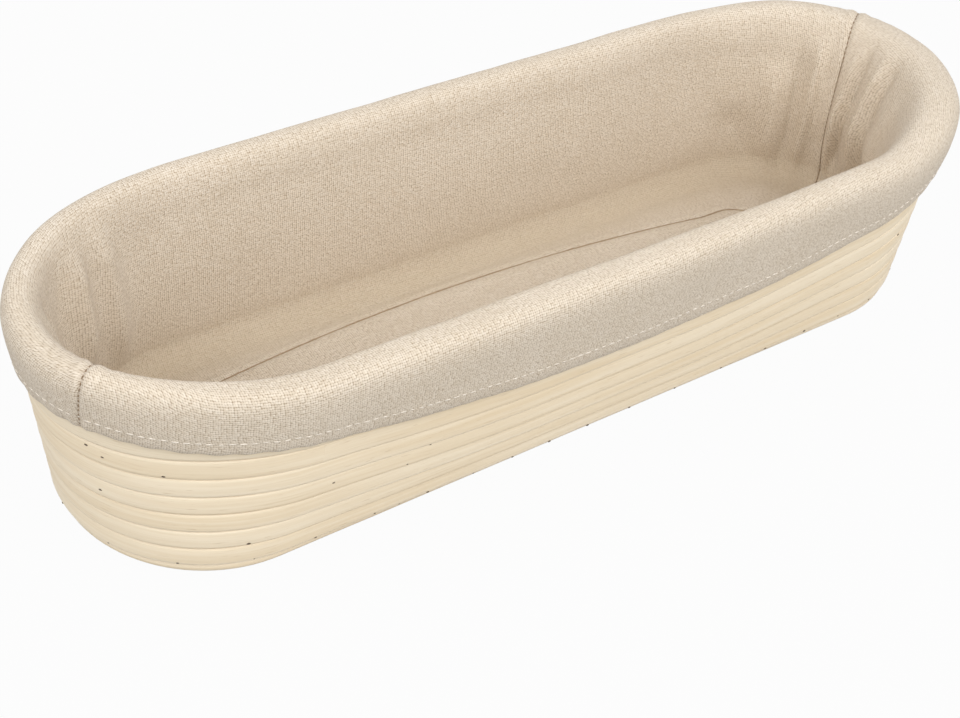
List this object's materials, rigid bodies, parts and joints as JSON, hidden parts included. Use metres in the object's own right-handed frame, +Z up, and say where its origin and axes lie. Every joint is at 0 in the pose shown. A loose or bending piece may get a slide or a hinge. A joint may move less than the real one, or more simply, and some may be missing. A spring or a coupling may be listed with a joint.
{
  "type": "proofing basket",
  "caption": "Long oval proofing basket wound from coiled cane, with a removable linen liner that rolls over the rim and is held outside by an elastic in its hem.",
  "frame": {"origin": "under the middle of the floor, on the plane that the basket stands on", "axes": "+X along the long axis, +Y towards the back run where the cane steps up, +Z up out of the basket"},
  "size_m": [0.4018, 0.1316, 0.089],
  "materials": {
    "cane": "bare peeled rattan cane, slightly fibrous, matt",
    "nail": "fine steel wire brads, dulled",
    "linen": "unbleached plain-weave linen with slubs and dark flecks",
    "seam": "folded and sewn linen",
    "elastic": "covered elastic band",
    "thread": "pale sewing thread"
  },
  "bodies": {
    "basket": {"floor_core": "cane", "floor_cane": "cane", "wall_cane_1": "cane", "wall_cane_2": "cane", "wall_cane_3": "cane", "wall_cane_4": "cane", "wall_cane_5": "cane", "floor_nails": "nail", "bottom_nails": "nail", "wall_nails_1": "nail", "wall_nails_2": "nail", "wall_nails_3": "nail", "wall_nails_4": "nail", "wall_nails_5": "nail"},
    "liner": {"liner_floor": "linen", "liner_front_panel": "linen", "liner_back_panel": "linen", "left_end_seam": "seam", "right_end_seam": "seam", "floor_seam": "seam", "hem_elastic": "elastic", "hem_thread": "thread"}
  },
  "joints": [
    {"name": "liner_lift", "type": "slide", "parent": "basket", "child": "liner", "axis": [0, 0, 1], "range_m": [0, 0.1], "deforming": ["liner_front_panel", "liner_back_panel", "left_end_seam", "right_end_seam", "hem_elastic", "hem_thread"]}
  ]
}
